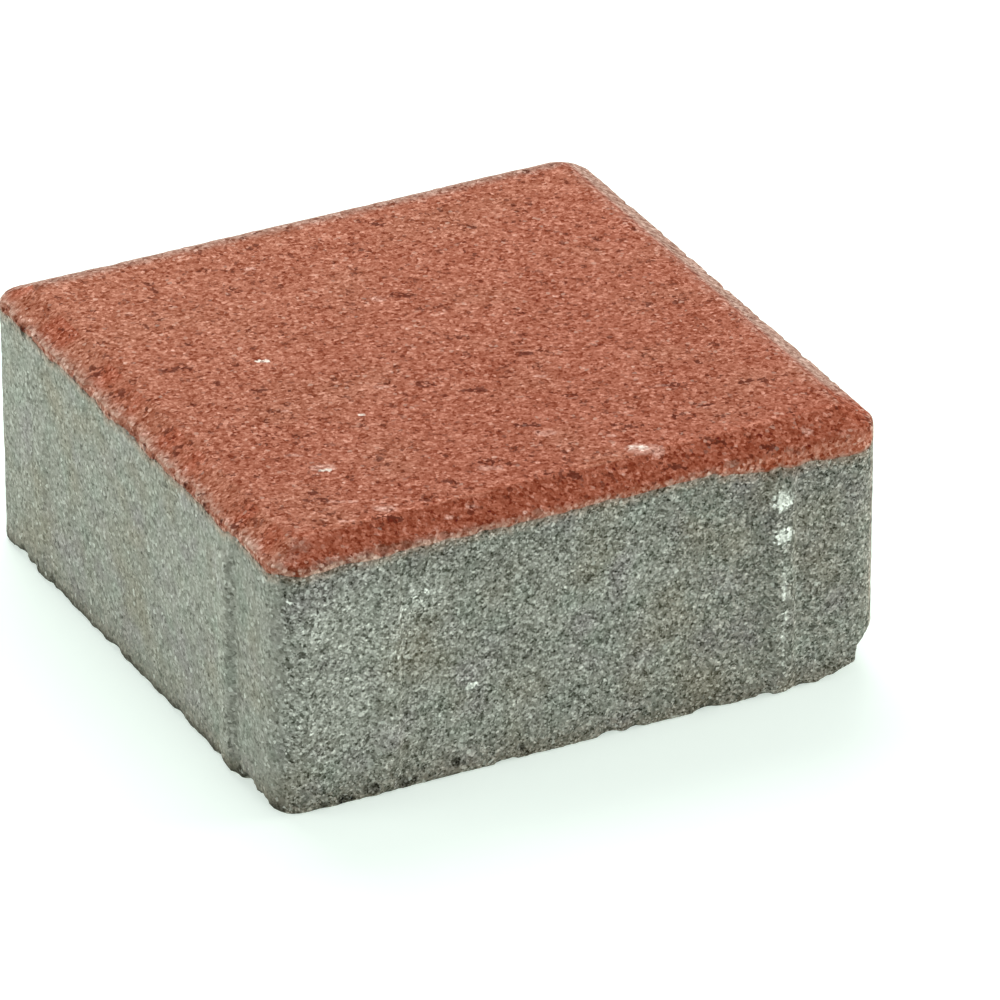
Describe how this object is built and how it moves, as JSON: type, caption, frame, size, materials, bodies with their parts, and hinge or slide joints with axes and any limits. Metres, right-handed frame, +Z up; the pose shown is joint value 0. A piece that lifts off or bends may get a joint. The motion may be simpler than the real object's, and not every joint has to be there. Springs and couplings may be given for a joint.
{
  "type": "concrete paving stone",
  "caption": "Square concrete paving stone with a bevelled red face layer on a grey base and upright spacer ribs on its sides.",
  "frame": {"origin": "centre of the bed face, on the ground", "axes": "+Z up through the wearing face; +X and +Y along the stone's sides"},
  "size_m": [0.141, 0.141, 0.06],
  "materials": {
    "grey_concrete": "rough pressed concrete, grey with greenish and purplish mottling and fine pores",
    "red_concrete": "matte red-pigmented concrete, fine grained, with small pits and pale grit"
  },
  "bodies": {
    "root": {"base_concrete": "grey_concrete", "face_layer": "red_concrete"}
  },
  "joints": []
}
